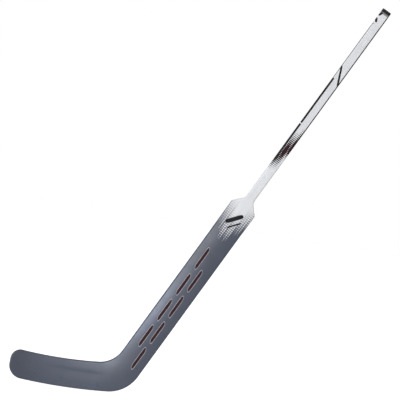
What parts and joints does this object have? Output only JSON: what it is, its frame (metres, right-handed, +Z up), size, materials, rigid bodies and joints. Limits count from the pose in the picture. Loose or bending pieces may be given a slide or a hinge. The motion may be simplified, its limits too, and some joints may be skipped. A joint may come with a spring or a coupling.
{
  "type": "hockey goalie stick",
  "caption": "Goalie stick with a hollow shaft, a wide crowned paddle, a rounded heel and a curved blade, moulded in two composite skins over foam cores.",
  "frame": {"origin": "where the rocker of the sole touches the ice, on the middle plane of the paddle", "axes": "+Z up from the ice, +X along the ice from the toe to the heel, +Y to the back of the stick; the shaft rises towards +X at 63 degrees and the toe curls towards -Y"},
  "size_m": [0.9909, 0.0366, 1.308],
  "materials": {
    "grey_paint": "satin grey paint over moulded laminate",
    "white_paint": "gloss white paint over laminate tube",
    "black_plastic": "moulded, matte",
    "carbon_laminate": "bare carbon and epoxy",
    "foam": "closed-cell foam",
    "dense_foam": "dense filled foam",
    "urethane": "cast urethane"
  },
  "bodies": {
    "root": {"front_skin": "grey_paint", "back_skin": "grey_paint", "shaft_tube": "white_paint", "end_plug": "black_plastic", "neck_tenon": "carbon_laminate", "toe_side_stringer": "carbon_laminate", "heel_side_stringer": "carbon_laminate", "blade_bridge": "carbon_laminate", "paddle_centre_core": "foam", "paddle_toe_side_core": "foam", "paddle_heel_side_core": "foam", "blade_upper_core": "foam", "blade_lower_core": "foam", "heel_block": "dense_foam", "toe_insert": "urethane"}
  },
  "joints": []
}
